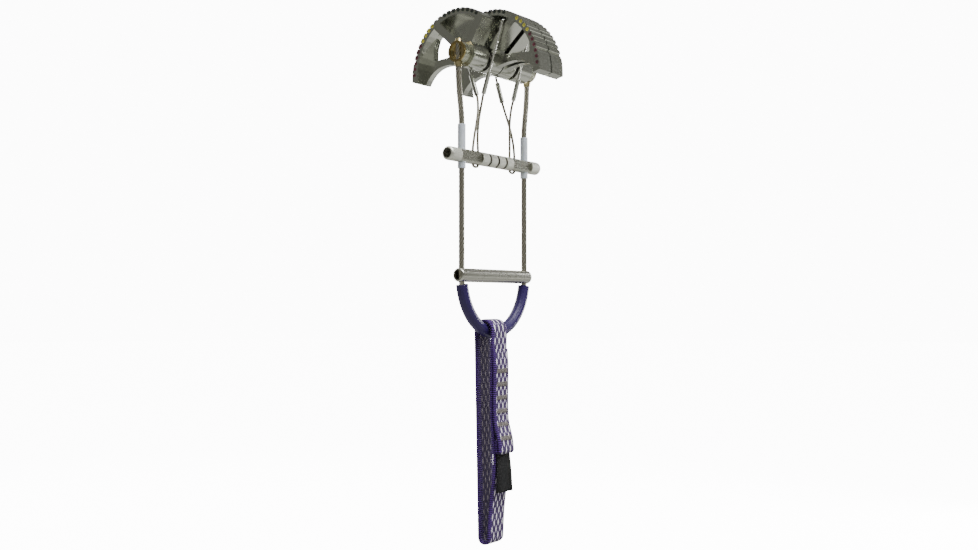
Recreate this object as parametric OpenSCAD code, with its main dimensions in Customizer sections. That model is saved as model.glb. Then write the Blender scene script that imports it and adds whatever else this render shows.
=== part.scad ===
// Spring-loaded camming device for rock climbing: four cams on one axle, a U-shaped cable stem,
// a trigger bar that pulls the cams in through four wires, a thumb bar and a sewn sling.
// Millimetres. X runs along the axle, Z is up towards the cams, and the origin is the axle's centre.

/* [Cams] */
// Cam radius where the cams meet the rock at rest
cam_radius = 36.7; // [20:0.1:60]
// Direction of that radius, in degrees from straight up
cam_radius_at = 103.25; // [95:0.25:110]
// Constant angle of the cam's spiral
cam_angle = 13.25; // [12:0.25:16]
// Start of the cam body (small end), in degrees from straight up
cam_from = -31; // [-45:1:0]
// End of the cam body (tip), in degrees from straight up
cam_to = 105.5; // [95:0.5:115]
// Width of each cam along the axle
cam_w = 10.4; // [6:0.1:16]
// Depth of the rim, teeth included
rim_t = 3.5; // [2:0.1:6]
// Number of teeth on each cam
teeth = 18; // [10:1:30]
// Distance from tooth to tooth along the rim
tooth_pitch = 3.2; // [1.5:0.05:5]
// Height of a tooth
tooth_h = 1.0; // [0.3:0.1:1.5]
// Thickness of the cam's web and spokes
web_t = 4.0; // [2:0.1:8]
// Width of the middle spoke
spoke_w = 4.3; // [2:0.1:8]
// Inner side of the inner cams, from the middle of the axle
inner_cam_x = 0.4; // [0.2:0.1:3]
// Inner side of the outer cams, from the middle of the axle
outer_cam_x = 13.4; // [12:0.1:20]
// Radius of the cams' hubs
hub_r = 6.8; // [5:0.1:10]

/* [Axle and terminals] */
// Radius of the axle
axle_r = 3.0; // [2:0.1:5]
// Running clearance between a cam and the axle
running = 0.05; // [0.01:0.01:0.1]
// Inner face of each terminal, from the middle of the axle
terminal_x = 26.3; // [26.3:0.1:30]
// Length of each terminal along the axle
terminal_w = 5.4; // [5.4:0.1:8]
// Radius of each terminal
terminal_r = 5.3; // [4:0.1:7]
// Mean radius of the springs' coils
spring_r = 4.4; // [4.1:0.1:5]
// Thickness of the springs' wire
spring_wire = 1.1; // [0.6:0.1:1.4]
// Coils in each spring
spring_coils = 5; // [3:1:6]

/* [Stem] */
// Diameter of the stem's cable
cable_d = 2.9; // [1.6:0.1:3]
// Distance of the cable's legs from the middle
leg_x = 27.3; // [26:0.1:28]
// Distance of the cable's ends from the middle, in the terminals
leg_top_x = 30; // [27:0.1:34]
// Height of the thumb bar
thumb_z = -111.4; // [-140:0.1:-100]
// Half the length of the thumb bar
thumb_half = 30.2; // [30:0.1:40]
// Diameter of the thumb bar
thumb_d = 7.0; // [5:0.1:10]
// Depth of the stem's bottom bend below the thumb bar
bend_depth = 29.2; // [24:0.1:35]
// Diameter of the plastic tube on the bend
loop_tube_d = 6.2; // [4:0.1:6.4]

/* [Trigger] */
// Height of the trigger bar at rest
trigger_z = -51.6; // [-60:0.1:-45]
// Half the length of the trigger bar
trigger_half = 39; // [32:0.5:45]
// Diameter of the trigger bar
trigger_d = 7.0; // [5:0.1:10]
// Outside diameter of the sleeves that guide the trigger on the stem
sleeve_d = 4.0; // [3.7:0.1:4.6]
// Top of the sleeves at rest
sleeve_top = -35.8; // [-45:0.1:-30]
// Bottom of the sleeves at rest
sleeve_bottom = -58; // [-65:0.1:-56]
// Diameter of the trigger wires' rods
rod_d = 1.2; // [0.8:0.1:2]
// Diameter of the flexible trigger cables
wire_d = 1.0; // [0.6:0.1:1.5]
// Diameter of the ferrules
ferrule_d = 2.4; // [1.8:0.1:2.5]
// Distance of the rods from the middle
rod_x = 12.1; // [12:0.05:12.2]
// Distance of the hooks from the axle, sideways
hook_y = 14.35; // [10:0.05:20]
// Height of the hooks above the axle
hook_z = 17.7; // [10:0.05:20]
// Distance of the left ferrules' lower ends from the middle plane
left_foot_y = 2.15; // [1.5:0.05:5]
// Distance of the right ferrules' lower ends from the middle plane
right_foot_y = 3.65; // [1.5:0.05:5]

/* [Sling] */
// Width of the webbing
web_w = 13; // [8:0.5:14]
// Thickness of the webbing
web_d = 1.6; // [0.8:0.1:2.5]
// Middle of the webbing along the axle's direction
sling_x = -2.9; // [-3:0.1:3]
// Lowest point of the sling
sling_bottom = -248.6; // [-300:0.1:-200]
// How far the front strand bows outwards below its seam
front_bow = 2.7; // [0:0.1:4]

/* [Hidden] */
$fn = 64;
spiral = tan(cam_angle);
hook_r = norm([hook_y, hook_z]);
teeth_from = cam_from + 1;
// Places along the rim, counted in teeth, that carry a range mark.
marks = [for (i = [1 : 20]) if (i < 9 || i > 10) i];
wire_low_x = [13.8, 18.2];
wire_z = [-8, -18.5];
bar_hole_z = trigger_z + trigger_d / 2 + 0.3;
axle_half = terminal_x + 2.1;
mark_r = 1.0;
mark_in = 1.4;
// The sling hangs on the tube: its axis is a little above the middle of the tube's lowest point.
sling_axis_z = thumb_z - bend_depth + 1;
sling_r = 4.5;
sling_low_r = 2.2;
low_z = sling_bottom + web_d + sling_low_r;
// Lower end of the sewn overlap, where the webbing's end is folded under, and height where the fold starts.
overlap_bottom = -203.5;
fold_top = -184;
fold_lift = 1.9;
silver = [0.74, 0.74, 0.71];
brass = [0.72, 0.55, 0.22];
purple = [0.22, 0.08, 0.42];

// ---------- helpers ----------

// Radius of the cam's smooth spiral in a direction, in degrees from straight up.
function cam_r(a) = cam_radius * exp(spiral * (a - cam_radius_at) * PI / 180);

// A point of the cam's side view: across (towards the rock) and up.
function at(a, r) = [r * sin(a), r * cos(a)];

// Direction of the rim at a distance along it from the first tooth, and the other way round.
function rim_angle(s) =
    let (r0 = cam_r(teeth_from))
    teeth_from + ln(1 + s * sin(cam_angle) / r0) / spiral * 180 / PI;

function unit(v) = v / norm(v);

// A cubic curve through four control points.
function curve(p, t) =
    pow(1 - t, 3) * p[0] + 3 * t * pow(1 - t, 2) * p[1]
    + 3 * t * t * (1 - t) * p[2] + pow(t, 3) * p[3];

// An outline with every corner rounded over a length d.
function rounded(p, d, n = 4) = [
    for (i = [0 : len(p) - 1])
        let (
            b = p[i],
            a = b + d * unit(p[(i + len(p) - 1) % len(p)] - b),
            c = b + d * unit(p[(i + 1) % len(p)] - b)
        )
        for (k = [0 : n])
            let (t = k / n)
            (1 - t) * (1 - t) * a + 2 * t * (1 - t) * b + t * t * c
];

// A side view (across, up) made solid between two places along the axle.
module along_x(a, b) {
    translate([a, 0, 0])
        rotate([90, 0, 90])
            linear_extrude(b - a)
                children();
}

module rod_x(a, b, r) {
    translate([a, 0, 0])
        rotate([0, 90, 0])
            cylinder(h = b - a, r = r);
}

// A straight round bar between two points.
module bar(a, b, r) {
    d = b - a;
    translate(a)
        rotate([0, acos(d[2] / norm(d)), atan2(d[1], d[0])])
            cylinder(h = norm(d), r = r, $fn = 32);
}

// A round tube of radius r along a path. No stretch of the path runs along `side`.
module tube(path, r, side, sides = 12) {
    n = len(path);
    points = [
        for (i = [0 : n - 1])
            let (
                t = unit(path[min(i + 1, n - 1)] - path[max(i - 1, 0)]),
                u = unit(cross(t, side)),
                v = cross(t, u)
            )
            for (k = [0 : sides - 1])
                let (a = 360 * k / sides)
                path[i] + r * (cos(a) * u + sin(a) * v)
    ];
    walls = [
        for (i = [0 : n - 2])
            for (k = [0 : sides - 1])
                let (k2 = (k + 1) % sides)
                [i * sides + k, (i + 1) * sides + k, (i + 1) * sides + k2, i * sides + k2]
    ];
    ends = [
        [for (k = [0 : sides - 1]) k],
        [for (k = [sides - 1 : -1 : 0]) (n - 1) * sides + k]
    ];
    polyhedron(points, concat(ends, walls), convexity = 10);
}

module left() {
    mirror([1, 0, 0])
        children();
}

module facing_back() {
    mirror([0, 1, 0])
        children();
}

// ---------- cams ----------

function tooth_outline() = [
    for (i = [0 : teeth - 1])
        for (f = [0, 0.06, 0.15, 0.3, 0.5, 0.7, 0.85, 0.94])
            let (a = rim_angle((i + f) * tooth_pitch))
            at(a, cam_r(a) - tooth_h * pow(abs(2 * f - 1), 4))
];

function foot() = [31.6, -11.0];

module rim() {
    last = rim_angle(teeth * tooth_pitch);
    polygon(concat(
        [at(cam_from, cam_r(cam_from) - rim_t), at(cam_from, cam_r(cam_from) - 0.6)],
        tooth_outline(),
        [at(last, cam_r(last) - tooth_h)],
        [for (i = [1 : 6]) let (a = last + 1.2 + (cam_to - last - 1.2) * i / 6) at(a, cam_r(a))],
        [foot()],
        [for (i = [24 : -1 : 1]) let (a = cam_from + (101 - cam_from) * i / 24) at(a, cam_r(a) - rim_t)]
    ));
}

// The wall that closes the cam's small end, from the rim down to the hub.
module end_wall() {
    outward = at(cam_from, 1);
    along = at(cam_from + 90, 1);
    polygon([
        outward * 4,
        outward * (cam_r(cam_from) - 1.5),
        outward * (cam_r(cam_from) - 1.5) + along * 4.2,
        outward * 4 + along * 4.2
    ]);
}

// The plate between hub and rim, before its windows are cut.
module plate() {
    edge = [foot(), [26, -1.2], [18, -0.6], [5, -4.0]];
    polygon(concat(
        [[0, 0]],
        [for (i = [0 : 24]) let (a = cam_from + 3 + (101 - cam_from) * i / 24) at(a, cam_r(a) - rim_t + 1)],
        [for (i = [0 : 10]) curve(edge, i / 10)]
    ));
}

// The full-depth spoke between the closed upper pocket and the lower window.
module spoke() {
    side = at(48, 1);
    away = at(138, 1) * spoke_w / 2;
    polygon([side * 4 + away, side * 26 + away, side * 26 - away, side * 4 - away]);
}

module lower_window() {
    side = at(48, 1);
    away = at(138, 1) * spoke_w / 2;
    polygon(rounded([
        side * 8.6 + away, side * 25.2 + away, at(61, 27.6), at(74, 27.2),
        [26.4, 1.0], [20.3, 1.5], [14.5, 2.0], [8.3, 1.6]
    ], 1.1));
}

// A cam on the right that faces +Y. Its recess is on its outer side, away from x = 0.
module cam(x, web_at, hub_from, hub_to, pocket_from, pocket_to) {
    color(silver)
        difference() {
            union() {
                along_x(x, x + cam_w) rim();
                along_x(x, x + cam_w) end_wall();
                difference() {
                    along_x(x + web_at, x + web_at + web_t) plate();
                    along_x(x + web_at - 1, x + web_at + web_t + 1) lower_window();
                }
                along_x(x + web_at, x + cam_w) spoke();
                rod_x(hub_from, hub_to, hub_r);
            }
            rod_x(hub_from - 1, hub_to + 1, axle_r + running);
            rod_x(pocket_from, pocket_to, spring_r + spring_wire / 2 + 0.35);
            translate([0, hook_y, hook_z])
                rod_x(x + web_at - 1, x + web_at + web_t + 1, rod_d / 2);
            // Range marks: one shallow dimple in the rim's side at each mark.
            for (i = marks)
                let (a = rim_angle((i + 0.5) * tooth_pitch), p = at(a, cam_r(a) - mark_in))
                translate([0, p[0], p[1]])
                    rod_x(x + cam_w - 0.35, x + cam_w + 1, mark_r);
        }
}

module outer_cam() {
    x = outer_cam_x;
    cam(x, 0.2, x, 25.5, x - 1, x + 3.2);
}

module inner_cam() {
    x = inner_cam_x;
    cam(x, 1.4, x, x + cam_w, x + cam_w - 3.2, x + cam_w + 1);
}

module cam_outer_right() { outer_cam(); }
module cam_outer_left() { left() outer_cam(); }
module cam_inner_right() { facing_back() inner_cam(); }
module cam_inner_left() { left() facing_back() inner_cam(); }

// The bent end of a trigger rod, which turns in its hole in the cam's web, with a bright head.
module hook(a, b, head) {
    color(silver)
        translate([0, hook_y, hook_z])
            union() {
                rod_x(a, b, rod_d / 2);
                rod_x(head, head + 0.5, 1.1);
            }
}

module outer_hook() {
    hook(rod_x + 0.75, outer_cam_x + web_t + 1.1, outer_cam_x + web_t + 0.35);
}

module inner_hook() {
    hook(0.9, rod_x - 0.75, 0.9);
}

module hook_outer_right() { outer_hook(); }
module hook_outer_left() { left() outer_hook(); }
module hook_inner_right() { facing_back() inner_hook(); }
module hook_inner_left() { left() facing_back() inner_hook(); }

// ---------- trigger wires ----------

// A point on a wire's straight rod at height z. foot is how far out its lower end is.
function on_rod(z, foot) =
    [rod_x, foot + (hook_y - foot) * (z - wire_z[1]) / (hook_z - wire_z[1]), z];

module rod(foot) {
    color(silver)
        bar(on_rod(wire_z[1] + 5, foot), on_rod(hook_z + rod_d / 2, foot), rod_d / 2);
}

module ferrule(foot) {
    color(silver)
        difference() {
            bar(on_rod(wire_z[1], foot), on_rod(wire_z[0], foot), ferrule_d / 2);
            bar(on_rod(wire_z[1] + 5, foot), on_rod(wire_z[0] + 2, foot), rod_d / 2);
            bar(on_rod(wire_z[1] - 1, foot), on_rod(wire_z[1] + 1.5, foot), wire_d / 2 + 0.12);
        }
}

module rod_outer_right() { rod(right_foot_y); }
module rod_outer_left() { left() rod(left_foot_y); }
module rod_inner_right() { facing_back() rod(right_foot_y); }
module rod_inner_left() { left() facing_back() rod(left_foot_y); }
module ferrule_outer_right() { ferrule(right_foot_y); }
module ferrule_outer_left() { left() ferrule(left_foot_y); }
module ferrule_inner_right() { facing_back() ferrule(right_foot_y); }
module ferrule_inner_left() { left() facing_back() ferrule(left_foot_y); }

// One flexible strand, from a ferrule down to the top of its hole in the trigger bar.
// bow is how far it swings across on the way.
function strand(foot, side, low_x, bow) =
    let (
        top = on_rod(wire_z[1] - 0.4, foot),
        lean = (hook_y - foot) / (hook_z - wire_z[1]),
        p = [
            [top[0], side * top[1], top[2]],
            [top[0] + bow, side * (top[1] - lean * 10), top[2] - 10],
            [low_x - bow, 0, bar_hole_z + 12],
            [low_x, 0, bar_hole_z]
        ]
    )
    [for (i = [0 : 12]) curve(p, i / 12)];

// The loop under the trigger bar, from the first strand's hole to the second's.
function under_bar(a, b) =
    let (mid = (a + b) / 2, r = abs(b - a) / 2, z = trigger_z - trigger_d / 2 + 0.3)
    [for (i = [0 : 12]) let (t = 180 * i / 12) [mid + (a < b ? -1 : 1) * r * cos(t), 0, z - r * sin(t)]];

function reversed(p) = [for (i = [len(p) - 1 : -1 : 0]) p[i]];

module trigger_cable(foot, front_x, back_x, bow) {
    color([0.5, 0.48, 0.42])
        tube(
            concat(
                strand(foot, 1, back_x, bow),
                under_bar(back_x, front_x),
                reversed(strand(foot, -1, front_x, -bow))
            ),
            wire_d / 2, [0, 1, 0], 8
        );
}

module trigger_cable_left() {
    left()
        trigger_cable(left_foot_y, wire_low_x[0], wire_low_x[1], 1.4);
}

module trigger_cable_right() {
    trigger_cable(right_foot_y, wire_low_x[0], wire_low_x[1], 0.6);
}

// ---------- trigger bar ----------

// Half of a round bar's outline, from its middle to its rounded end.
module half_bar(half, r, edge) {
    rotate([0, 90, 0])
        rotate_extrude()
            polygon(concat(
                [[0, 0], [r, 0]],
                [for (i = [0 : 5]) let (t = 18 * i) [r - edge + edge * cos(t), half - edge + edge * sin(t)]],
                [[0, half]]
            ));
}

module round_bar(half, r, edge) {
    union() {
        half_bar(half, r, edge);
        left() half_bar(half, r, edge);
    }
}

module trigger_bar() {
    r = trigger_d / 2;
    color([0.62, 0.61, 0.55])
        translate([0, 0, trigger_z])
            difference() {
                round_bar(trigger_half, r, 1.2);
                for (s = [-1, 1]) {
                    // Flats between the grip bands and the round ends.
                    for (y = [-1, 1])
                        translate([s * 22 - 8.6, y * (r + 1.1) - 2, -5])
                            cube([17.2, 4, 10]);
                    // Open end.
                    translate([s * (trigger_half - 4), 0, 0])
                        rod_x(-5, 5, r - 1.0);
                    translate([s * leg_x, 0, -5])
                        cylinder(h = 10, r = sleeve_d / 2);
                    for (x = wire_low_x)
                        translate([s * x, 0, -5])
                            cylinder(h = 10, r = wire_d / 2 + 0.12, $fn = 24);
                }
                // Grooves between the four grip bands.
                for (x = [-6.9, 0, 6.9])
                    difference() {
                        rod_x(x - 0.8, x + 0.8, r + 1);
                        rod_x(x - 0.9, x + 0.9, r - 0.6);
                    }
            }
}

module sleeve() {
    color([0.8, 0.85, 0.93])
        translate([leg_x, 0, sleeve_bottom])
            difference() {
                cylinder(h = sleeve_top - sleeve_bottom, r = sleeve_d / 2);
                translate([0, 0, -1])
                    cylinder(h = sleeve_top - sleeve_bottom + 2, r = cable_d / 2 + 0.15);
            }
}

module sleeve_right() { sleeve(); }
module sleeve_left() { left() sleeve(); }

// ---------- axle ----------

module axle() {
    color([0.6, 0.6, 0.58])
        rod_x(-axle_half, axle_half, axle_r);
}

module axle_washers() {
    color(silver)
        for (s = [-1, 1])
            difference() {
                rod_x(s > 0 ? 25.6 : -26.2, s > 0 ? 26.2 : -25.6, 5.9);
                rod_x(-30, 30, axle_r);
            }
}

// Thin rings that keep the cams apart along the axle.
module cam_spacers() {
    color([0.45, 0.45, 0.44])
        difference() {
            rod_x(-0.3, 0.3, 5.6);
            rod_x(-1, 1, axle_r);
        }
}

module spring() {
    middle = (inner_cam_x + cam_w + outer_cam_x) / 2;
    length = 7.6;
    steps = spring_coils * 14;
    color([0.35, 0.35, 0.34])
        tube(
            [
                for (i = [0 : steps])
                    let (a = 360 * spring_coils * i / steps)
                    [middle - length / 2 + length * i / steps, spring_r * cos(a), spring_r * sin(a)]
            ],
            spring_wire / 2, [1, 0, 0], 8
        );
}

module spring_right() { spring(); }
module spring_left() { left() spring(); }

module terminal() {
    color([0.55, 0.5, 0.4])
        difference() {
            rod_x(terminal_x, terminal_x + terminal_w, terminal_r);
            rod_x(terminal_x + 2.4, terminal_x + terminal_w + 1, terminal_r - 1.1);
            rod_x(terminal_x - 1, terminal_x + terminal_w, axle_r);
            translate([leg_top_x, 0, -8])
                cylinder(h = 16, r = cable_d / 2);
        }
}

module braze() {
    color(brass)
        difference() {
            union() {
                rod_x(terminal_x + 2.4, terminal_x + 3.7, terminal_r - 1.1);
                translate([leg_top_x, 0, -7.6])
                    cylinder(h = 2.5, r1 = cable_d / 2 + 0.25, r2 = cable_d / 2 + 0.7);
                translate([leg_top_x, 0, 4.9])
                    cylinder(h = 1.7, r1 = cable_d / 2 + 0.5, r2 = cable_d / 2);
            }
            translate([leg_top_x, 0, -8])
                cylinder(h = 14, r = cable_d / 2);
            difference() {
                rod_x(terminal_x - 1, terminal_x + terminal_w + 1, terminal_r);
                rod_x(terminal_x - 2, terminal_x + terminal_w + 2, terminal_r - 1.1);
            }
        }
}

module terminal_right() { terminal(); }
module terminal_left() { left() terminal(); }
module braze_right() { braze(); }
module braze_left() { left() braze(); }

// ---------- stem ----------

// The right leg of the stem from its top end down to the start of the bend.
function leg() = concat(
    [[leg_top_x, 0, 6]],
    [
        for (i = [0 : 10])
            curve([[leg_top_x, 0, -6], [leg_top_x, 0, -21], [leg_x, 0, -27], [leg_x, 0, -35]], i / 10)
    ],
    [for (z = [-50, -70, -90]) [leg_x, 0, z]]
);

function bend(a, b, n) = [
    for (i = [0 : n])
        let (t = a + (b - a) * i / n)
        [leg_x * cos(t), 0, thumb_z - bend_depth * sin(t)]
];

function flipped(p) = [for (q = p) [-q[0], q[1], q[2]]];

module stem_cable() {
    color([0.5, 0.47, 0.4])
        tube(concat(leg(), bend(0, 180, 36), reversed(flipped(leg()))), cable_d / 2, [0, 1, 0], 12);
}

module thumb_bar() {
    r = thumb_d / 2;
    color([0.68, 0.67, 0.62])
        translate([0, 0, thumb_z])
            difference() {
                round_bar(thumb_half, r, 0.9);
                for (s = [-1, 1]) {
                    translate([s * (thumb_half - 4.5), 0, 0])
                        rod_x(-5.5, 5.5, r - 1.1);
                    translate([s * leg_x, 0, -5])
                        cylinder(h = 10, r = cable_d / 2 + 0.1);
                }
            }
}

module loop_tube() {
    color(purple)
        difference() {
            tube(bend(9.5, 170.5, 36), loop_tube_d / 2, [0, 1, 0], 16);
            tube(bend(4, 176, 36), cable_d / 2 + 0.1, [0, 1, 0], 12);
        }
}

// ---------- sling ----------

function smooth(t) = let (c = max(0, min(1, t))) c * c * (3 - 2 * c);

// Inner face of the front strand at height z: it narrows downwards and bows out below the seam.
function front_y(z) =
    -sling_low_r + (sling_low_r - sling_r) * (z - low_z) / (sling_axis_z - low_z)
    - front_bow * exp(-pow((z + 207) / 18, 2));

// Inner face of the sewn overlap at height z. The end that is folded under lifts it at its foot.
function overlap_y(z) = front_y(z) - web_d - fold_lift * smooth((fold_top - z) / 13);

// Outline of the hanging loop, seen along the axle, at a distance out from its inner face.
function sling_outline(d) = concat(
    [for (i = [0 : 24]) let (t = 180 * i / 24) [(sling_r + d) * cos(t), sling_axis_z + (sling_r + d) * sin(t)]],
    [for (i = [1 : 29]) let (z = sling_axis_z + (low_z - sling_axis_z) * i / 30) [front_y(z) - d, z]],
    [for (i = [0 : 12]) let (t = 180 + 180 * i / 12) [(sling_low_r + d) * cos(t), low_z + (sling_low_r + d) * sin(t)]]
);

module sling_webbing() {
    half = web_w / 2;
    color([0.36, 0.22, 0.56])
        union() {
            difference() {
                along_x(sling_x - half, sling_x + half) polygon(sling_outline(web_d));
                along_x(sling_x - half - 1, sling_x + half + 1) polygon(sling_outline(0));
            }
            // The sewn overlap on the front strand, with the folded end at its foot.
            along_x(sling_x - half, sling_x + half)
                polygon(concat(
                    [for (z = [-156 : -4 : -200]) [overlap_y(z) - web_d, z]],
                    [[overlap_y(-203) - web_d + 1, overlap_bottom]],
                    [for (z = [-202 : 5 : -152]) [front_y(z) - web_d / 2, z]]
                ));
        }
}

module bar_tacks() {
    color([0.55, 0.53, 0.56])
        for (i = [0 : 5])
            let (z = -160 - 6.8 * i)
            translate([sling_x - 4.5, overlap_y(z) - web_d - 0.4, z - 1.2])
                cube([9, 0.5, 2.4]);
}

module label_tag() {
    color([0.05, 0.05, 0.05])
        translate([sling_x - 5.6, front_y(-204) - web_d - 0.9, -221.5])
            cube([11.1, 0.6, 18.5]);
}

// ---------- the object ----------

cam_outer_left();
cam_inner_left();
cam_inner_right();
cam_outer_right();
hook_outer_left();
hook_inner_left();
hook_inner_right();
hook_outer_right();
rod_outer_left();
rod_inner_left();
rod_inner_right();
rod_outer_right();
ferrule_outer_left();
ferrule_inner_left();
ferrule_inner_right();
ferrule_outer_right();
axle();
axle_washers();
cam_spacers();
spring_left();
spring_right();
terminal_left();
terminal_right();
braze_left();
braze_right();
stem_cable();
thumb_bar();
loop_tube();
trigger_bar();
sleeve_left();
sleeve_right();
trigger_cable_left();
trigger_cable_right();
sling_webbing();
bar_tacks();
label_tag();
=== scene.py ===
"""Looks for a rock-climbing camming device: metals, wire ropes, range marks, plastic and a woven sling.

The frame is the CAD's: X along the axle, Z up towards the cams, origin at the axle's middle. Driving sizes
and paths are in millimetres, which MM turns into the scene's metres. Materials, lights and the camera are
in metres.
"""

import math

import bpy
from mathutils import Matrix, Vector


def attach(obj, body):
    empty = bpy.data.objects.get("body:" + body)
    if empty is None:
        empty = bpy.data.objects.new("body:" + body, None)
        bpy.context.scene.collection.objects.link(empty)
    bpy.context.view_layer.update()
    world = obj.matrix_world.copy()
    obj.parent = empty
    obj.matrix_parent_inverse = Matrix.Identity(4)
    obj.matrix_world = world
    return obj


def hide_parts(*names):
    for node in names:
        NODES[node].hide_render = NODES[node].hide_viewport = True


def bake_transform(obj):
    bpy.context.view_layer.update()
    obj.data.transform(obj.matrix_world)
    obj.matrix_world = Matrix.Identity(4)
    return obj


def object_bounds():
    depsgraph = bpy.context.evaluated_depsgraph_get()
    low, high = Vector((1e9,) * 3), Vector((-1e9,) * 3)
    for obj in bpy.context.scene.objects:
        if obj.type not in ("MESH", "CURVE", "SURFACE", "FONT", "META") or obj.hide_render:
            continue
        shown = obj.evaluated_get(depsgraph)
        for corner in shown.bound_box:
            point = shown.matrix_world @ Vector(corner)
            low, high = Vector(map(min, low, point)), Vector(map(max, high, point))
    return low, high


MM = 0.001

# ---------- driving sizes in millimetres, as in the CAD source ----------
CAM_R, CAM_R_AT, CAM_ANGLE = 36.7, 103.25, 13.25
TEETH_FROM, TOOTH_PITCH = -30.0, 3.2
INNER_X, OUTER_X, CAM_W = 0.4, 13.4, 10.4
MARK_IN, MARK_R, MARK_DEEP = 1.4, 1.0, 0.35
LEG_X, LEG_TOP_X, THUMB_Z, BEND_DEPTH = 27.3, 30.0, -111.4, 29.2
CABLE_D, ROD_X, ROD_D, WIRE_D = 2.9, 12.1, 1.2, 1.0
HOOK_Y, HOOK_Z, WIRE_BOTTOM = 14.35, 17.7, -18.5
FOOT_Y = {"left": 2.15, "right": 3.65}
BOW = {"left": 1.4, "right": 0.6}
HOLE_X = (13.8, 18.2)
TRIGGER_Z, TRIGGER_D = -51.6, 7.0
SLING_X, SLING_AXIS_Z, SLING_BOTTOM = -2.9, -139.6, -248.6
SLING_R, SLING_LOW_R = 4.5, 2.2
WEB_W, WEB_D = 13.0, 1.6
LOW_Z = SLING_BOTTOM + WEB_D + SLING_LOW_R
FRONT_BOW, BOW_Z, BOW_SPAN = 2.7, -207, 18
FOLD_TOP, FOLD_LIFT, FOLD_SPAN = -184.0, 1.9, 13
TACKS, TACK_TOP, TACK_PITCH = 6, -160, 6.8

# ---------- sizes in millimetres that the looks add ----------
TERMINAL_GILT_X = 31.4
FLAT_FROM, FLAT_TO = 13.5, 30.6
# How deep a rope's grooves are, as a share of its radius, and how far one strand goes in one turn.
STEM_GROOVE, STEM_LAY = 0.13, 15.0
STRAND_GROOVE, STRAND_LAY = 0.06, 5.0
# How much thicker than in the CAD the two ropes are drawn.
STEM_THICKER, STRAND_THICKER = 1.03, 1.3
# The small loop under the trigger bar is shallower than the CAD's half circle.
UNDER_LOOP_DROP = 1.3
RIB_PITCH = 1.05
TACK_W, TACK_HALF, THREAD_R = 8.8, 1.15, 0.24
LABEL_W, LABEL_TALL, LABEL_TOP, LABEL_OUT_Z = 11.1, 20.1, -201.4, -204
SIDES = ("outer_left", "inner_left", "inner_right", "outer_right")

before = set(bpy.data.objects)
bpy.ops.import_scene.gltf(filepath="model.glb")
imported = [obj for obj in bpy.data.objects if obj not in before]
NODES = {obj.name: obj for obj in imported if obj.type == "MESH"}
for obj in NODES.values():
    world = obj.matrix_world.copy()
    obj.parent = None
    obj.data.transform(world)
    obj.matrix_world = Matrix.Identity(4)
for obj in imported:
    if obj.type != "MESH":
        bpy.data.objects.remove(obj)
cad_low, cad_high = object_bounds()


# ---------- small helpers ----------

def link(obj):
    bpy.context.scene.collection.objects.link(obj)
    return obj


def mesh_piece(name, points, faces, material):
    """A mesh from points in millimetres."""
    mesh = bpy.data.meshes.new(name)
    mesh.from_pydata([Vector(p) * MM for p in points], [], faces)
    mesh.update()
    for face in mesh.polygons:
        face.use_smooth = True
    mesh.materials.append(material)
    return link(bpy.data.objects.new(name, mesh))


def write_uv(piece, name, values):
    """A UV layer with one value for each vertex."""
    layer = piece.data.uv_layers.new(name=name)
    for loop in piece.data.loops:
        layer.data[loop.index].uv = values[loop.vertex_index]


def bezier(p, t):
    a, b, c, d = (Vector(q) for q in p)
    return a * (1 - t) ** 3 + b * 3 * t * (1 - t) ** 2 + c * 3 * t * t * (1 - t) + d * t ** 3


def even(path, step):
    """The same path with points a step apart."""
    path = [Vector(p) for p in path]
    lengths = [0.0]
    for a, b in zip(path, path[1:]):
        lengths.append(lengths[-1] + (b - a).length)
    count = max(2, round(lengths[-1] / step))
    points, i = [], 0
    for k in range(count + 1):
        want = lengths[-1] * k / count
        while i < len(path) - 2 and lengths[i + 1] < want:
            i += 1
        span = max(lengths[i + 1] - lengths[i], 1e-9)
        points.append(path[i].lerp(path[i + 1], (want - lengths[i]) / span))
    return points


def sweep(name, path, radius, material, sides):
    """A tube along a path. radius is a number, or a function of (distance along, angle round).

    Its UV layer "lay" holds how far out each point is, as a share of the largest radius.
    """
    side = Vector((0, 1, 0))
    points, faces, radii, walked = [], [], [], 0.0
    for i, p in enumerate(path):
        ahead = path[min(i + 1, len(path) - 1)] - path[max(i - 1, 0)]
        along = ahead.normalized()
        u = along.cross(side).normalized()
        v = along.cross(u)
        if i:
            walked += (p - path[i - 1]).length
        for k in range(sides):
            a = math.tau * k / sides
            r = radius(walked, a) if callable(radius) else radius
            points.append(p + (u * math.cos(a) + v * math.sin(a)) * r)
            radii.append(r)
    for i in range(len(path) - 1):
        for k in range(sides):
            k2 = (k + 1) % sides
            faces.append((i * sides + k, i * sides + k2, (i + 1) * sides + k2, (i + 1) * sides + k))
    faces.append(tuple(range(sides - 1, -1, -1)))
    faces.append(tuple((len(path) - 1) * sides + k for k in range(sides)))
    piece = mesh_piece(name, points, faces, material)
    write_uv(piece, "lay", [(r / max(radii), 0) for r in radii])
    return piece


def rope(diameter, strands, lay, groove):
    """Section of a wire rope: bulging strands that wind once round in a length of lay."""
    def radius(walked, angle):
        turn = strands * (angle - math.tau * walked / lay) / 2
        return diameter / 2 * (1 - groove + groove * abs(math.cos(turn)) ** 0.6)
    return radius


# ---------- materials ----------

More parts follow.
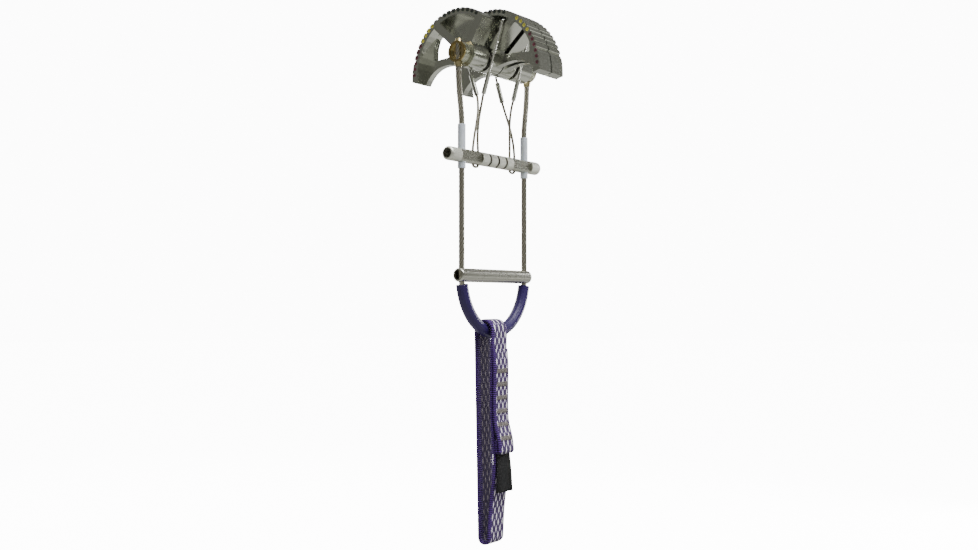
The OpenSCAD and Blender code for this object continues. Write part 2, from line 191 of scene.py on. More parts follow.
class Shader:
    """A Principled material whose details come from noise in the object's own coordinates."""

    def __init__(self, name, color, metallic=0.0, roughness=0.5, **sockets):
        self.material = bpy.data.materials.new(name)
        self.material.use_nodes = True
        self.nodes = self.material.node_tree.nodes
        self.links = self.material.node_tree.links
        self.bsdf = self.nodes["Principled BSDF"]
        self.bsdf.inputs["Base Color"].default_value = (*color, 1)
        self.bsdf.inputs["Metallic"].default_value = metallic
        self.bsdf.inputs["Roughness"].default_value = roughness
        for key, value in sockets.items():
            self.bsdf.inputs[key.replace("_", " ")].default_value = value
        self.place = self.node("ShaderNodeTexCoord").outputs["Object"]
        self.material.diffuse_color = (*color, 1)

    def node(self, kind, **values):
        node = self.nodes.new(kind)
        for key, value in values.items():
            if key in node.inputs:
                node.inputs[key].default_value = value
            else:
                setattr(node, key, value)
        return node

    def stretched(self, scale):
        mapping = self.node("ShaderNodeMapping")
        mapping.inputs["Scale"].default_value = scale
        self.links.new(self.place, mapping.inputs["Vector"])
        return mapping.outputs["Vector"]

    def noise(self, scale, detail=3.0, roughness=0.55):
        node = self.node("ShaderNodeTexNoise")
        node.inputs["Scale"].default_value = 1.0
        node.inputs["Detail"].default_value = detail
        node.inputs["Roughness"].default_value = roughness
        self.links.new(self.stretched(scale), node.inputs["Vector"])
        return node.outputs["Fac"]

    def ramp(self, value, *stops):
        """stops are (position, colour or grey)."""
        node = self.node("ShaderNodeValToRGB")
        elements = node.color_ramp.elements
        while len(elements) < len(stops):
            elements.new(0.5)
        for element, (position, color) in zip(elements, stops):
            element.position = position
            element.color = (*color, 1) if isinstance(color, tuple) else (color, color, color, 1)
        self.links.new(value, node.inputs["Fac"])
        return node.outputs["Color"]

    def math(self, operation, a, b=0.0):
        node = self.node("ShaderNodeMath", operation=operation)
        for socket, value in zip(node.inputs, (a, b)):
            if isinstance(value, (int, float)):
                socket.default_value = value
            else:
                self.links.new(value, socket)
        return node.outputs[0]

    def mix(self, factor, a, b):
        """Mixes two colours. Sockets 6 and 7 are a Mix node's colour inputs, and output 2 is its colour."""
        node = self.node("ShaderNodeMix", data_type="RGBA")
        for socket, value in ((node.inputs[0], factor), (node.inputs[6], a), (node.inputs[7], b)):
            if isinstance(value, tuple):
                socket.default_value = (*value, 1)
            elif isinstance(value, (int, float)):
                socket.default_value = value
            else:
                self.links.new(value, socket)
        return node.outputs[2]

    def color(self, value):
        self.links.new(value, self.bsdf.inputs["Base Color"])

    def rough(self, value, low, high):
        node = self.node("ShaderNodeMapRange")
        node.inputs["To Min"].default_value = low
        node.inputs["To Max"].default_value = high
        self.links.new(value, node.inputs["Value"])
        self.links.new(node.outputs["Result"], self.bsdf.inputs["Roughness"])

    def bump(self, height, strength, distance):
        node = self.node("ShaderNodeBump")
        node.inputs["Strength"].default_value = strength
        node.inputs["Distance"].default_value = distance
        self.links.new(height, node.inputs["Height"])
        self.links.new(node.outputs["Normal"], self.bsdf.inputs["Normal"])


def metal(name, color, low, high, grain=(900, 900, 900), stain=0.25, bump=0.2, dark=None):
    """A bare metal: fine grain stretched as its tooling left it, soft stains and uneven polish."""
    s = Shader(name, color, metallic=1.0, roughness=(low + high) / 2)
    fine = s.noise(grain, 3, 0.5)
    cloud = s.noise((90, 90, 90), 4, 0.6)
    s.color(s.mix(s.ramp(cloud, (0.40, 0.0), (0.72, stain)), color, dark or tuple(c * 0.6 for c in color)))
    s.rough(s.mix(0.5, fine, cloud), low, high)
    s.bump(fine, bump, 0.00002)
    return s


def band(s, distance, edge, soft):
    """1 where distance is over edge, 0 below it, with a soft step. All in metres."""
    steps_past = s.math("MULTIPLY", s.math("SUBTRACT", distance, edge), 1 / soft)
    return s.ramp(s.math("ADD", steps_past, 0.5), (0.0, 0.0), (1.0, 1.0))


def trigger_alloy():
    """Satin flats, rougher and paler grip bands and ends, and painted shade in the grooves between the
    bands.
    """
    s = metal("trigger_alloy", (0.50, 0.50, 0.43), 0.22, 0.34, (80, 2600, 2600), 0.25, 0.15)
    parts = s.node("ShaderNodeSeparateXYZ")
    s.links.new(s.place, parts.inputs[0])
    x = s.math("ABSOLUTE", parts.outputs["X"])
    up = s.math("SUBTRACT", parts.outputs["Z"], TRIGGER_Z * MM)
    squares = s.math("ADD", s.math("POWER", parts.outputs["Y"], 2.0), s.math("POWER", up, 2.0))
    radius = s.math("SQRT", squares)
    inner = s.math("SUBTRACT", 1.0, band(s, x, FLAT_FROM * MM, 0.0004))
    grip = s.math("MAXIMUM", inner, band(s, x, FLAT_TO * MM, 0.0004))
    full = band(s, radius, (TRIGGER_D / 2 - 0.35) * MM, 0.0003)
    satin = s.bsdf.inputs["Base Color"].links[0].from_socket
    pale = s.mix(s.noise((1700, 1700, 1700), 2), (0.58, 0.585, 0.52), (0.68, 0.685, 0.61))
    color = s.mix(grip, satin, pale)
    # Painted shade: the floors of the grooves between the inner bands are drawn near black.
    s.color(s.mix(s.math("MULTIPLY", inner, s.math("SUBTRACT", 1.0, full)), color, (0.10, 0.095, 0.07)))
    polish = s.bsdf.inputs["Roughness"].links[0].from_socket
    s.links.new(s.math("ADD", polish, s.math("MULTIPLY", grip, 0.20)), s.bsdf.inputs["Roughness"])
    return s.material


def rope_metal(name, color, groove, dark, low, high):
    """Wire rope: bright on the crowns of its strands, dark oil and shadow in the grooves between them."""
    s = metal(name, color, low, high, (2600, 2600, 1400), 0.2, 0.2)
    parts = s.node("ShaderNodeSeparateXYZ")
    s.links.new(s.node("ShaderNodeUVMap", uv_map="lay").outputs["UV"], parts.inputs[0])
    crown = s.ramp(parts.outputs["X"], (1 - groove, 0.0), (1 - groove * 0.25, 1.0))
    s.color(s.mix(crown, dark, s.bsdf.inputs["Base Color"].links[0].from_socket))
    return s.material


def terminal_steel():
    """Grey-green barrel whose outer end is gilded by the braze."""
    s = metal("terminal_steel", (0.50, 0.51, 0.40), 0.2, 0.34, (900, 400, 400), 0.3, 0.15)
    parts = s.node("ShaderNodeSeparateXYZ")
    s.links.new(s.place, parts.inputs[0])
    ragged = s.math("MULTIPLY", s.noise((300, 300, 300)), 0.0012)
    x = s.math("ADD", s.math("ABSOLUTE", parts.outputs["X"]), ragged)
    gilt = s.mix(s.noise((500, 500, 500), 4, 0.6), (0.62, 0.50, 0.22), (0.22, 0.16, 0.06))
    barrel = s.bsdf.inputs["Base Color"].links[0].from_socket
    s.color(s.mix(band(s, x, TERMINAL_GILT_X * MM, 0.0006), barrel, gilt))
    return s.material


TERMINAL_STEEL = terminal_steel()
CAM_ALLOY = metal("cam_alloy", (0.57, 0.58, 0.52), 0.14, 0.28, (300, 3000, 3000), 0.25, 0.15).material
WIRE_STEEL = metal("wire_steel", (0.56, 0.56, 0.52), 0.12, 0.2, (2500, 2500, 200), 0.1, 0.08).material
FERRULE_STEEL = metal(
    "ferrule_steel", (0.50, 0.51, 0.46), 0.14, 0.24, (1200, 1200, 200), 0.12, 0.12,
).material
AXLE_STEEL = metal("axle_steel", (0.5, 0.5, 0.45), 0.15, 0.3, (2500, 500, 500)).material
WASHER_STEEL = metal("washer_steel", (0.50, 0.51, 0.41), 0.25, 0.42, (900, 900, 900), 0.3).material
SPRING_STEEL = metal("spring_steel", (0.14, 0.135, 0.125), 0.25, 0.45).material
BRAZE = metal(
    "braze", (0.62, 0.54, 0.31), 0.12, 0.28, (500, 500, 500), 0.6, 0.35, (0.20, 0.14, 0.05),
).material
STEM_ROPE = rope_metal(
    "stem_wire_rope", (0.54, 0.52, 0.44), STEM_GROOVE, (0.12, 0.105, 0.07), 0.24, 0.34,
)
TRIGGER_ROPE = rope_metal(
    "trigger_wire_rope", (0.30, 0.285, 0.225), STRAND_GROOVE, (0.16, 0.15, 0.11), 0.45, 0.6,
)
THUMB_ALLOY = metal("thumb_alloy", (0.50, 0.50, 0.44), 0.24, 0.32, (80, 2600, 2600), 0.12, 0.05).material
TRIGGER_ALLOY = trigger_alloy()


def plastic(name, color, darker, low, high, **sockets):
    """A moulded or extruded plastic with a faint mottle, drawn lines and fingerprints of gloss."""
    s = Shader(name, color, roughness=(low + high) / 2, **sockets)
    s.color(s.mix(s.ramp(s.noise((160, 160, 160), 4, 0.6), (0.35, 0.0), (0.7, 1.0)), color, darker))
    s.rough(s.noise((420, 420, 420), 4, 0.6), low, high)
    s.bump(s.noise((1800, 1800, 260), 3, 0.5), 0.10, 0.00004)
    return s.material


LOOP_PLASTIC = plastic(
    "purple_plastic", (0.030, 0.016, 0.100), (0.024, 0.013, 0.082), 0.34, 0.38, Specular_IOR_Level=0.35,
)
SLEEVE_PLASTIC = plastic(
    "sleeve_plastic", (0.64, 0.69, 0.76), (0.56, 0.61, 0.69), 0.3, 0.45,
    Subsurface_Weight=0.35, Subsurface_Radius=(0.002, 0.002, 0.0025), Subsurface_Scale=0.6,
)
DARK_WASHER = plastic("dark_washer", (0.02, 0.02, 0.02), (0.012, 0.012, 0.012), 0.4, 0.6)
PAINTS = {
    "green": plastic(
        "dark_paint", (0.022, 0.034, 0.024), (0.010, 0.015, 0.011), 0.12, 0.3, Coat_Weight=0.5),
    "yellow": plastic(
        "yellow_paint", (0.64, 0.60, 0.07), (0.42, 0.38, 0.05), 0.15, 0.35, Coat_Weight=0.5),
    "red": plastic(
        "red_paint", (0.13, 0.028, 0.045), (0.06, 0.014, 0.022), 0.15, 0.35, Coat_Weight=0.5),
}


def webbing_material():
    """Woven webbing from its UV layer "weave": u is millimetres across from the middle, v millimetres along.

    The layer "side" is 1 on the inner face, whose flecks are painted darker as shade and whose borders are
    wider.
    """
    column_w, repeat, border_from = 1.72, 6.4, 5.2
    s = Shader("purple_webbing", (0.05, 0.015, 0.17), roughness=0.8, Sheen_Weight=0.06, Sheen_Roughness=0.5)
    parts = s.node("ShaderNodeSeparateXYZ")
    s.links.new(s.node("ShaderNodeUVMap", uv_map="weave").outputs["UV"], parts.inputs[0])
    sides = s.node("ShaderNodeSeparateXYZ")
    s.links.new(s.node("ShaderNodeUVMap", uv_map="side").outputs["UV"], sides.inputs[0])
    inside = sides.outputs["X"]
    wander = s.math("MULTIPLY", s.math("SUBTRACT", s.noise((700, 700, 700), 2), 0.5), 0.7)
    u = s.math("ADD", parts.outputs["X"], s.math("MULTIPLY", wander, 0.6))
    v = s.math("ADD", parts.outputs["Y"], wander)
    # Middle: narrow columns of long white flecks, each column half a repeat from the next.
    across = s.math("DIVIDE", u, column_w)
    column = s.math("FLOOR", across)
    in_column = s.math("SUBTRACT", s.math("SUBTRACT", across, column), 0.5)
    along = s.math("ADD", s.math("DIVIDE", v, repeat), s.math("MULTIPLY", column, 0.5))
    lean = s.math("MULTIPLY", in_column, 0.16)
    in_fleck = s.math("SUBTRACT", s.math("FRACT", s.math("ADD", along, lean)), 0.5)
    shape = s.math(
        "ADD", s.math("POWER", s.math("ABSOLUTE", s.math("DIVIDE", in_column, 0.25)), 2.2),
        s.math("POWER", s.math("ABSOLUTE", s.math("DIVIDE", in_fleck, 0.30)), 2.2),
    )
    fleck = s.ramp(s.math("SUBTRACT", 1.5, shape), (0.42, 0.0), (0.66, 1.0))
    turns = s.math("ADD", s.math("DIVIDE", v, repeat), 0.25)
    knot = s.math("ABSOLUTE", s.math("SINE", s.math("MULTIPLY", turns, math.tau)))
    thread = s.noise((2600, 2600, 2600), 3, 0.6)
    # Borders: ribs across the webbing. They are wider on the inner face.
    rib = s.math("SINE", s.math("MULTIPLY", v, math.tau / RIB_PITCH))
    away = s.math("ADD", s.math("ABSOLUTE", s.math("SUBTRACT", u, 0.5)), s.math("MULTIPLY", rib, 0.12))
    border = s.math("GREATER_THAN", s.math("ADD", away, s.math("MULTIPLY", inside, 1.3)), border_from)
    purple = s.mix(s.ramp(rib, (0.25, 0.0), (0.8, 1.0)), (0.020, 0.003, 0.066), (0.085, 0.018, 0.25))
    dark = s.mix(thread, (0.010, 0.004, 0.024), (0.060, 0.020, 0.14))
    white = s.mix(s.ramp(knot, (0.1, 0.0), (0.8, 1.0)), (0.60, 0.52, 0.76), (0.96, 0.94, 0.98))
    # Painted shade: on the inner face the white flecks are drawn darker, as if shaded by the other strand.
    shaded_flecks = s.mix(s.ramp(knot, (0.1, 0.0), (0.8, 1.0)), (0.13, 0.095, 0.13), (0.38, 0.33, 0.36))
    s.color(s.mix(border, s.mix(fleck, dark, s.mix(inside, white, shaded_flecks)), purple))
    height = s.mix(border, s.math("MULTIPLY", fleck, 0.9), s.math("MULTIPLY", rib, 0.6))
    s.bump(s.math("ADD", height, s.math("MULTIPLY", thread, 0.4)), 0.7, 0.0002)
    return s.material


def cloth(name, color, other, scale, bump=0.6, **sockets):
    """A close woven or sewn cloth: crossing threads with a soft sheen."""
    s = Shader(name, color, roughness=0.8, **sockets)
    parts = s.node("ShaderNodeSeparateXYZ")
    s.links.new(s.place, parts.inputs[0])
    warp = s.math("SINE", s.math("MULTIPLY", parts.outputs["X"], scale))
    weft = s.math("SINE", s.math("MULTIPLY", parts.outputs["Z"], scale * 0.9))
    weave = s.math("MULTIPLY", warp, weft)
    s.color(s.mix(s.ramp(weave, (0.3, 0.0), (0.7, 1.0)), color, other))
    s.bump(s.math("ADD", weave, s.noise((3000, 3000, 3000), 3)), bump, 0.00008)
    return s.material


WEBBING = webbing_material()
TACK_THREAD = cloth("grey_thread", (0.20, 0.18, 0.165), (0.10, 0.09, 0.085), 9000, Sheen_Weight=0.1)
LABEL_CLOTH = cloth(
    "black_label", (0.0045, 0.0045, 0.005), (0.010, 0.010, 0.011), 12000, 0.4,
    Sheen_Weight=0.03, Specular_IOR_Level=0.25,
)


# ---------- CAD nodes that keep their shape ----------

def dress(node, material, bevel, angle=35):
    """Gives a CAD node its material and, with a bevel, slightly broken edges and even shading on flats."""
    obj = NODES[node]
    obj.data.materials.clear()
    obj.data.materials.append(material)
    if bevel:
        mod = obj.modifiers.new("edges", "BEVEL")
        mod.width = bevel * MM
        mod.segments = 2
        mod.limit_method = "ANGLE"
        mod.angle_limit = math.radians(angle)
        mod.harden_normals = False
        mod.use_clamp_overlap = True
        mod = obj.modifiers.new("normals", "WEIGHTED_NORMAL")
        mod.weight = 90
        mod.keep_sharp = True


def dress_all():
    for s in SIDES:
        dress("cam_" + s, CAM_ALLOY, 0.14, 50)
        dress("hook_" + s, WIRE_STEEL, 0.1)
        dress("ferrule_" + s, FERRULE_STEEL, 0.12)
    for node, material in (
        ("axle", AXLE_STEEL), ("axle_washers", WASHER_STEEL), ("cam_spacers", DARK_WASHER),
        ("terminal_left", TERMINAL_STEEL), ("terminal_right", TERMINAL_STEEL),
        ("braze_left", BRAZE), ("braze_right", BRAZE), ("thumb_bar", THUMB_ALLOY),
        ("trigger_bar", TRIGGER_ALLOY), ("sleeve_left", SLEEVE_PLASTIC), ("sleeve_right", SLEEVE_PLASTIC),
    ):
        dress(node, material, 0.12)
    for node, material in (
        ("spring_left", SPRING_STEEL), ("spring_right", SPRING_STEEL), ("loop_tube", LOOP_PLASTIC),
    ):
        dress(node, material, 0)


# ---------- range marks ----------

def spiral_r(angle):
    return CAM_R * math.exp(math.tan(math.radians(CAM_ANGLE)) * math.radians(angle - CAM_R_AT))


def mark_point(i):
    """Side-view place (across, up) of the range mark at tooth i."""
    k, sin_a = math.tan(math.radians(CAM_ANGLE)), math.sin(math.radians(CAM_ANGLE))
    walked = (i + 0.5) * TOOTH_PITCH
    angle = TEETH_FROM + math.degrees(math.log(1 + walked * sin_a / spiral_r(TEETH_FROM)) / k)
    r = spiral_r(angle) - MARK_IN
    return r * math.sin(math.radians(angle)), r * math.cos(math.radians(angle))


def paint_marks(side, colour, indexes):
    """Paint in the dimples: a thin dished disc in each, with a raised middle in the dark ones."""
    inner = side.startswith("inner")
    face_x = (INNER_X if inner else OUTER_X) + CAM_W
    sx = -1 if side.endswith("left") else 1
    sy = -1 if inner else 1
    points, faces = [], []
    rim = MARK_R - 0.01
    if colour == "green":
        rings = ((0.0, 0.13), (0.25 * rim, 0.14), (0.5 * rim, 0.24), (0.72 * rim, 0.27), (0.92 * rim, 0.05))
    else:
        rings = ((0.0, 0.25), (0.4 * rim, 0.23), (0.7 * rim, 0.15), (0.92 * rim, 0.03))
    rings += ((rim, 0.01), (rim, MARK_DEEP))
    count = 20
    for i in indexes:
        y, z = mark_point(i)
        start = len(points)
        for r, depth in rings:
            for k in range(count):
                a = math.tau * k / count
                points.append((sx * (face_x - depth), sy * (y + r * math.cos(a)), z + r * math.sin(a)))
        for j in range(len(rings) - 1):
            for k in range(count):
                k2 = (k + 1) % count
                near, far = start + j * count, start + (j + 1) * count
                quad = (near + k, near + k2, far + k2, far + k)
                faces.append(quad if sx * sy > 0 else quad[::-1])
    piece = mesh_piece(f"marks_{colour}_{side}", points, faces, PAINTS[colour])
    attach(piece, f"cam_{side}_body")


def marks():
    for side in SIDES:
        paint_marks(side, "green", range(1, 9))
        paint_marks(side, "yellow", range(11, 15))
        paint_marks(side, "red", range(15, 21))


# ---------- wires ----------

def flip(side):
    """Signs that carry a right-hand, +Y-facing part to this side."""
    return Vector((-1 if side.endswith("left") else 1, -1 if side.startswith("inner") else 1, 1))


def placed(path, signs):
    return [Vector((p[0] * signs[0], p[1] * signs[1], p[2] * signs[2])) for p in path]


def on_rod(z, foot):
    return Vector((ROD_X, foot + (HOOK_Y - foot) * (z - WIRE_BOTTOM) / (HOOK_Z - WIRE_BOTTOM), z))


def bent_rod(side):
    """The stiff rod, with the start of the bend that carries on as the hook in the cam."""
    foot = FOOT_Y["left" if side.endswith("left") else "right"]
    top = on_rod(HOOK_Z, foot)
    towards = 1 if side.startswith("outer") else -1
    low = on_rod(WIRE_BOTTOM + 5, foot)
    path = [low + (top - low) * (t / 14) for t in range(13)]
    path += [bezier((path[-1], top, top, top + Vector((0.6 * towards, 0, 0))), t / 6) for t in range(1, 7)]
    signs = flip(side)
    piece = sweep("bent_rod_" + side, even(placed(path, signs), 0.5), ROD_D / 2, WIRE_STEEL, 16)
    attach(piece, f"wire_{side}_body")
    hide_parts("rod_" + side)


def strand_path(hand, side_y, low_x, bow):
    """A flexible strand as in the CAD: from its ferrule to its hole in the trigger bar."""
    foot = FOOT_Y[hand]
    top = on_rod(WIRE_BOTTOM - 0.4, foot)
    lean = (HOOK_Y - foot) / (HOOK_Z - WIRE_BOTTOM)
    hole_z = TRIGGER_Z + TRIGGER_D / 2 + 0.3
    p = (
        (top.x, side_y * top.y, top.z), (top.x + bow, side_y * (top.y - lean * 10), top.z - 10),
        (low_x - bow, 0, hole_z + 12), (low_x, 0, hole_z),
    )
    lead_in = on_rod(WIRE_BOTTOM + 1.2, foot)
    return [(lead_in.x, side_y * lead_in.y, lead_in.z)] + [bezier(p, t / 24) for t in range(25)]


def half_loop(a, b):
    """Half of the loop under the trigger bar, from hole a to the middle between the holes."""
    middle, r, z = (a + b) / 2, abs(b - a) / 2, TRIGGER_Z - TRIGGER_D / 2 + 0.2
    sign = -1 if a < b else 1
    turns = [math.pi * i / 24 for i in range(13)]
    return [(middle + sign * r * math.cos(t), 0, z - UNDER_LOOP_DROP * math.sin(t)) for t in turns]


def trigger_strands(hand):
    near, far = HOLE_X
    section = rope(WIRE_D * STRAND_THICKER, 6, STRAND_LAY, STRAND_GROOVE)
    for kind, side_y, own, other, sign in (("outer", 1, far, near, 1), ("inner", -1, near, far, -1)):
        side = f"{kind}_{hand}"
        path = strand_path(hand, side_y, own, sign * BOW[hand]) + half_loop(own, other)
        path = even(placed(path, (-1 if hand == "left" else 1, 1, 1)), 0.22)
        piece = sweep("trigger_strand_" + side, path, section, TRIGGER_ROPE, 18)
        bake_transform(piece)
        if kind == "outer":
            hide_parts("trigger_cable_" + hand)


# ---------- stem ----------

def leg_path():
    path = [(LEG_TOP_X, 0, 6)]
    neck = ((LEG_TOP_X, 0, -6), (LEG_TOP_X, 0, -21), (LEG_X, 0, -27), (LEG_X, 0, -35))
    path += [bezier(neck, t / 30) for t in range(31)]
    return path


def stem_path():
    leg = leg_path()
    bend = [
        (LEG_X * math.cos(math.pi * i / 90), 0, THUMB_Z - BEND_DEPTH * math.sin(math.pi * i / 90))
        for i in range(91)
    ]
    return leg + bend + [(-p[0], p[1], p[2]) for p in reversed(leg)]


def stem():
    path = even(stem_path(), 0.45)
    section = rope(CABLE_D * STEM_THICKER, 6, STEM_LAY, STEM_GROOVE)
    piece = sweep("stem_rope", path, section, STEM_ROPE, 30)
    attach(piece, "stem")
    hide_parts("stem_cable")


# ---------- sling ----------

def strap(name, path, width, depth, material):
    """A flat strap with full, rounded edges. path is the middle line of its inner face."""
    count = 40
    points, weave, side, faces, walked = [], [], [], [], 0.0
    for i, p in enumerate(path):
        along = (path[min(i + 1, len(path) - 1)] - path[max(i - 1, 0)]).normalized()
        out = Vector((0, along.z, -along.y))
        if i:
            walked += (p - path[i - 1]).length
        for k in range(count):
            a = math.tau * k / count
            x = math.copysign(abs(math.cos(a)) ** 0.30, math.cos(a)) * width / 2
            h = math.copysign(abs(math.sin(a)) ** 0.55, math.sin(a)) * depth / 2
            rib = 1 + 0.012 * math.sin(walked * math.tau / RIB_PITCH) * (abs(x) > width / 2 - 1.6)
            points.append(p + Vector((x * rib, 0, 0)) + out * (depth / 2 + h))
            weave.append((x, walked))
            side.append((1.0 if h < 0 else 0.0, 0.0))
    for i in range(len(path) - 1):
        for k in range(count):
            k2 = (k + 1) % count
            faces.append((i * count + k, i * count + k2, (i + 1) * count + k2, (i + 1) * count + k))
    faces.append(tuple(range(count - 1, -1, -1)))
    faces.append(tuple((len(path) - 1) * count + k for k in range(count)))
    piece = mesh_piece(name, points, faces, material)
    write_uv(piece, "weave", weave)
    write_uv(piece, "side", side)
    return piece


def smooth(t):
    t = max(0.0, min(1.0, t))
    return t * t * (3 - 2 * t)


def front_y(z):
    """Inner face of the sling's front strand, as in the CAD."""
    straight = -SLING_LOW_R + (SLING_LOW_R - SLING_R) * (z - LOW_Z) / (SLING_AXIS_Z - LOW_Z)
    return straight - FRONT_BOW * math.exp(-((z - BOW_Z) / BOW_SPAN) ** 2)


def overlap_y(z):
    """Inner face of the sewn overlap, which its folded end lifts at its foot."""
    return front_y(z) - WEB_D - FOLD_LIFT * smooth((FOLD_TOP - z) / FOLD_SPAN)


def loop_path():
    """Inner face of the sling: from its bottom up the back, over the tube and down the front."""
    low = [(SLING_X, SLING_LOW_R * math.sin(t), LOW_Z - SLING_LOW_R * math.cos(t))
           for t in (math.pi / 2 * i / 8 for i in range(9))]
    top = [(SLING_X, SLING_R * math.cos(t), SLING_AXIS_Z + SLING_R * math.sin(t))
           for t in (math.pi * i / 24 for i in range(25))]
    heights = [SLING_AXIS_Z + (LOW_Z - SLING_AXIS_Z) * i / 60 for i in range(1, 60)]
    front = [(SLING_X, front_y(z), z) for z in heights]
    end = [(p[0], -p[1], p[2]) for p in reversed(low)]
    return even(low + top + front + end, 0.35)


def overlap_path():
    """Inner face of the overlap, down the front strand and round its tight fold, up behind itself."""
    path = [Vector((SLING_X, front_y(z) - out, z)) for z, out in ((-149, 0.75), (-153, 1.1), (-157, 1.5))]
    path += [Vector((SLING_X, overlap_y(z) - 0.03, z)) for z in range(-161, -201, -3)]
    foot = path[-1]
    fold = 0.16
    centre = foot + Vector((0, fold, -0.6))
    turns = [math.pi * i / 10 for i in range(11)]
    path += [centre + Vector((0, -fold * math.cos(t), -fold * math.sin(t))) for t in turns]
    path += [Vector((SLING_X, foot.y + 2 * fold + 0.02 * i, -200.0 + i)) for i in range(1, 6)]
    return even(path, 0.3)


def sling():
    loop = strap("sling_loop", loop_path(), WEB_W, WEB_D, WEBBING)
    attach(loop, "sling")
    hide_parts("sling_webbing")
    flap = strap("sling_overlap", overlap_path(), WEB_W - 0.4, WEB_D, WEBBING)
    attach(flap, "sling")


def bar_tacks():
    """Dense zigzag bars of thread across the face of the sewn overlap."""
    turns = 18
    for row in range(TACKS):
        middle = TACK_TOP - TACK_PITCH * row
        path = []
        for i in range(turns + 1):
            z = middle + (TACK_HALF if i % 2 else -TACK_HALF)
            x = SLING_X - TACK_W / 2 + TACK_W * i / turns
            path.append(Vector((x, overlap_y(z) - WEB_D - 0.08, z)))
        piece = sweep(f"bar_tack_{row + 1}", even(path, 0.2), THREAD_R, TACK_THREAD, 8)
        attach(piece, "sling")
        if row == 0:
            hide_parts("bar_tacks")


def label():
    """A blank tape that hangs from inside the overlap's fold, its right-hand edge swung out a little."""
    rows, columns, thick, left = 24, 12, 0.35, SLING_X - 5.7
    points, faces = [], []
    for depth in (0.0, thick):
        for i in range(rows + 1):
            t = i / rows
            for k in range(columns + 1):
                s = k / columns
                swing = 1.3 * t * s + 0.30 * math.sin(math.pi * t) * (0.4 + 0.6 * s)
                ripple = 0.16 * math.sin(math.tau * s) * t
                x = left + LABEL_W * s + 0.9 * t * s
                y = front_y(LABEL_OUT_Z) - WEB_D - 0.35 - swing - ripple - depth
                points.append((x, y, LABEL_TOP - LABEL_TALL * t))
    row, layer = columns + 1, (rows + 1) * (columns + 1)
    for i in range(rows):
        for k in range(columns):
            a = i * row + k
            faces.append((a, a + row, a + row + 1, a + 1))
            faces.append((a + layer, a + 1 + layer, a + row + 1 + layer, a + row + layer))
    edge = list(range(row)) + [i * row + columns for i in range(1, rows + 1)]
    edge += [rows * row + k for k in range(columns - 1, -1, -1)] + [i * row for i in range(rows - 1, 0, -1)]
    faces += [(a, b, b + layer, a + layer) for a, b in zip(edge, edge[1:] + edge[:1])]
    piece = mesh_piece("blank_label", points, faces, LABEL_CLOTH)
    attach(piece, "sling")
    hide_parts("label_tag")


# ---------- stage, lights and camera ----------

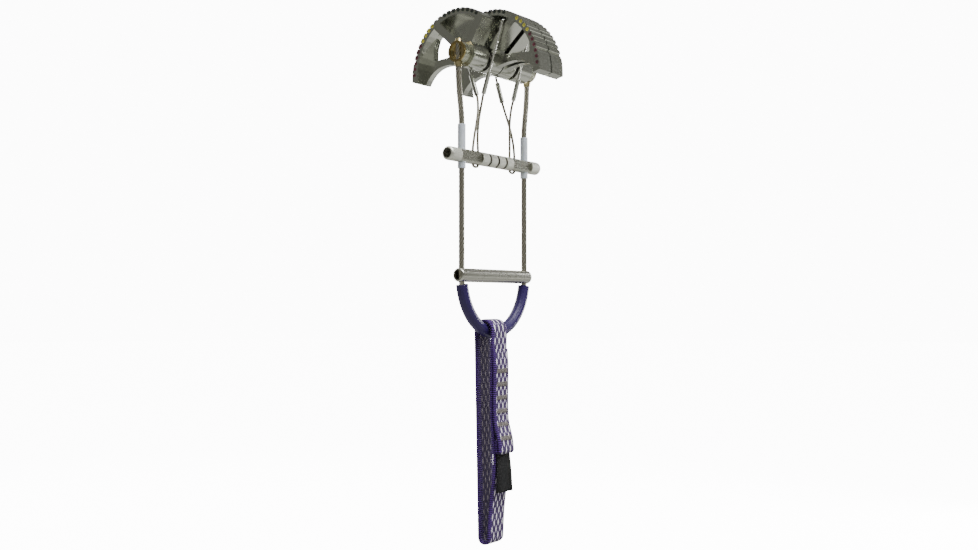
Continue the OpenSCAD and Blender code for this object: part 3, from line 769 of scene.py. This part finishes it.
def stage():
    """A plain white floor and a soft studio round it: bright below and above, darker at eye level."""
    below = (0, 0, cad_low.z - 0.10)
    backdrop_strength = 12.0
    bpy.ops.mesh.primitive_circle_add(vertices=96, radius=6, fill_type="NGON", location=below)
    floor = bpy.context.object
    floor.name = "floor"
    s = Shader("floor", (0.93, 0.93, 0.93), roughness=0.9)
    s.color(s.mix(s.noise((3, 3, 3)), (0.92, 0.92, 0.92), (0.95, 0.95, 0.95)))
    s.bsdf.inputs["Emission Color"].default_value = (1, 1, 1, 1)
    s.bsdf.inputs["Emission Strength"].default_value = backdrop_strength
    floor.data.materials.append(s.material)
    floor.visible_diffuse = floor.visible_glossy = floor.visible_transmission = floor.visible_shadow = False
    world = bpy.data.worlds.new("studio")
    bpy.context.scene.world = world
    world.use_nodes = True
    nodes, links = world.node_tree.nodes, world.node_tree.links
    output = nodes["World Output"]
    backdrop = nodes["Background"]
    backdrop.inputs["Color"].default_value = (1, 1, 1, 1)
    backdrop.inputs["Strength"].default_value = backdrop_strength
    studio = nodes.new("ShaderNodeBackground")
    up = nodes.new("ShaderNodeSeparateXYZ")
    links.new(nodes.new("ShaderNodeTexCoord").outputs["Generated"], up.inputs[0])
    height = nodes.new("ShaderNodeMapRange")
    height.inputs["From Min"].default_value = -1
    links.new(up.outputs["Z"], height.inputs["Value"])
    ramp = nodes.new("ShaderNodeValToRGB")
    stops = ((0.0, (0.80, 0.80, 0.77)), (0.22, (0.80, 0.80, 0.76)), (0.28, (0.25, 0.25, 0.23)),
             (0.33, (0.85, 0.85, 0.81)), (0.40, (0.75, 0.75, 0.71)), (0.44, (0.17, 0.17, 0.15)),
             (0.80, (0.19, 0.19, 0.175)), (0.90, (0.70, 0.71, 0.71)), (1.0, (0.9, 0.9, 0.9)))
    while len(ramp.color_ramp.elements) < len(stops):
        ramp.color_ramp.elements.new(0.5)
    for element, (position, color) in zip(ramp.color_ramp.elements, stops):
        element.position = position
        element.color = (*color, 1)
    links.new(height.outputs["Result"], ramp.inputs["Fac"])
    links.new(ramp.outputs["Color"], studio.inputs["Color"])
    seen = nodes.new("ShaderNodeMixShader")
    links.new(nodes.new("ShaderNodeLightPath").outputs["Is Camera Ray"], seen.inputs["Fac"])
    links.new(studio.outputs[0], seen.inputs[1])
    links.new(backdrop.outputs[0], seen.inputs[2])
    links.new(seen.outputs[0], output.inputs["Surface"])


def area_light(name, azimuth, elevation, distance, width, height, power):
    """A soft box round the object. Azimuth 0 is on the -Y side and 90 on the +X side."""
    a, e = math.radians(azimuth), math.radians(elevation)
    spot = Vector((math.sin(a) * math.cos(e), -math.cos(a) * math.cos(e), math.sin(e))) * distance
    data = bpy.data.lights.new(name, "AREA")
    data.shape, data.size, data.size_y, data.energy = "RECTANGLE", width, height, power
    light = link(bpy.data.objects.new(name, data))
    centre = (cad_low + cad_high) / 2
    light.location = centre + spot
    light.rotation_mode = "QUATERNION"
    light.rotation_quaternion = (-spot).to_track_quat("-Z", "Y")


def lights():
    area_light("side", 80, 8, 0.8, 0.12, 0.5, 4)
    area_light("rear", 122, 12, 0.9, 0.2, 0.2, 2.5)
    area_light("front", 0, 54, 0.9, 0.5, 0.5, 10)
    area_light("top", -30, 78, 0.8, 0.6, 0.6, 4)
    area_light("back", 165, 20, 1.0, 0.5, 0.8, 4)


def camera():
    """Placed as the photograph was taken: below the cams, looking slightly up."""
    azimuth, distance, height = math.radians(-53.6), 0.54155, -0.12537
    yaw, pitch = math.radians(-0.28), math.radians(1.54)
    right = Vector((math.cos(azimuth), math.sin(azimuth), 0))
    ahead = Vector((-math.sin(azimuth), math.cos(azimuth), 0))
    ahead = ahead * math.cos(yaw) + right * math.sin(yaw)
    look = ahead * math.cos(pitch) + Vector((0, 0, math.sin(pitch)))
    data = bpy.data.cameras.new("camera")
    data.sensor_width, data.lens = 36, 38.40
    data.clip_start, data.clip_end = 0.01, 50
    cam = link(bpy.data.objects.new("camera", data))
    cam.location = (math.sin(azimuth) * distance, -math.cos(azimuth) * distance, height)
    cam.rotation_mode = "QUATERNION"
    cam.rotation_quaternion = look.to_track_quat("-Z", "Y")
    bpy.context.scene.camera = cam


dress_all()
marks()
for each in SIDES:
    bent_rod(each)
trigger_strands("left")
trigger_strands("right")
stem()
sling()
bar_tacks()
label()
stage()
lights()
camera()
